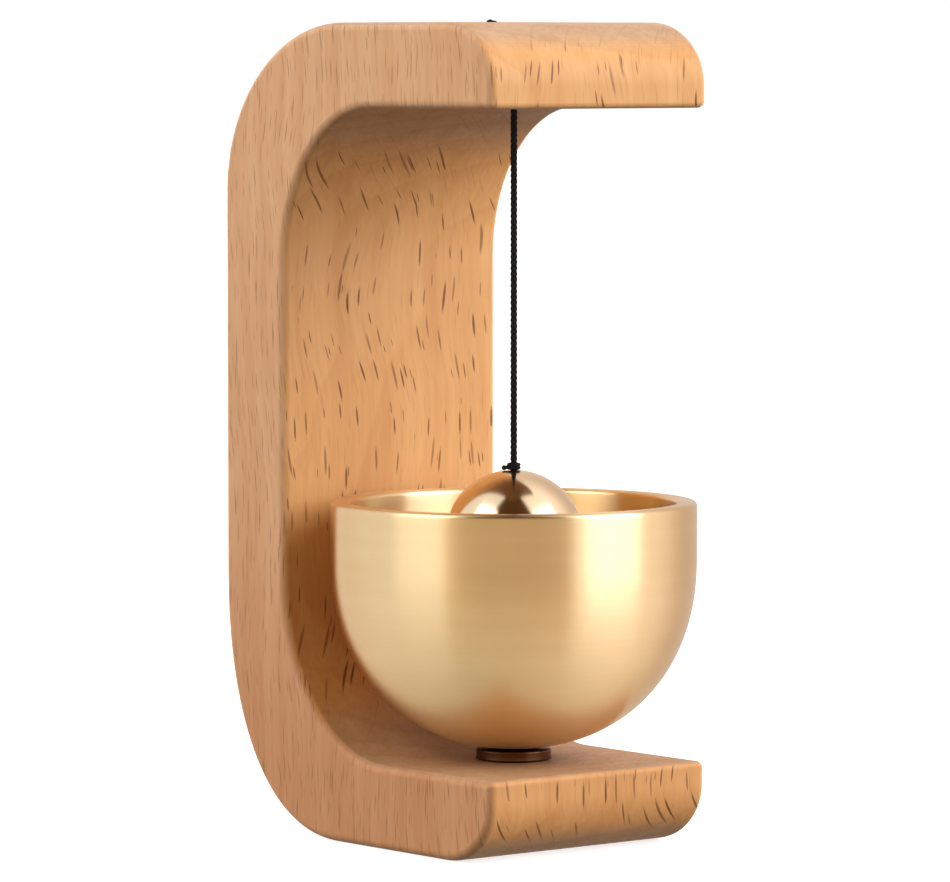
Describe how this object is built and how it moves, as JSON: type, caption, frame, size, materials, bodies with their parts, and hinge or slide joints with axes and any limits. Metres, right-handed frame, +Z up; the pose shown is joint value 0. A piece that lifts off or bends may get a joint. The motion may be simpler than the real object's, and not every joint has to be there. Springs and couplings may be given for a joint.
{
  "type": "service bell",
  "caption": "Wooden C-shaped bracket carrying an upright brass cup, with a brass ball hung on a cord as its striker.",
  "frame": {"origin": "on the standing surface, under the middle of the whole bell's width and depth", "axes": "+Z up along the bracket's upright, +Y from the open front towards the bracket's back, +X across its width"},
  "size_m": [0.047, 0.0616, 0.1054],
  "materials": {
    "beech": "oiled beech with short dark pores",
    "satin_brass": "fine turned satin",
    "polished_brass": "mirror polish",
    "collar_metal": "dark polished",
    "zinc_steel": "zinc plated",
    "nickel": "nickel plated",
    "fibre": "vulcanised fibre",
    "black_cord": "waxed braided cord"
  },
  "bodies": {
    "bracket": {"frame": "beech", "bell_cup": "satin_brass", "cup_collar": "collar_metal", "cup_screw": "zinc_steel", "screw_washer": "zinc_steel", "cup_washer": "fibre", "cup_nut": "zinc_steel", "lower_magnet": "nickel", "upper_magnet": "nickel"},
    "hanger": {"cord_in_arm": "black_cord", "top_knot": "black_cord"},
    "striker": {"striker_cord": "black_cord", "striker_ball": "polished_brass", "ball_upper_knot": "black_cord", "ball_lower_knot": "black_cord"}
  },
  "joints": [
    {"name": "striker_turn", "type": "hinge", "parent": "bracket", "child": "hanger", "pos_m": [0, -0.00732, 0.0942], "axis": [0, 0, 1], "continuous": true},
    {"name": "striker_swing", "type": "hinge", "parent": "hanger", "child": "striker", "pos_m": [0, -0.00732, 0.0942], "axis": [1, 0, 0], "range_deg": [-12.1, 12.1]}
  ]
}
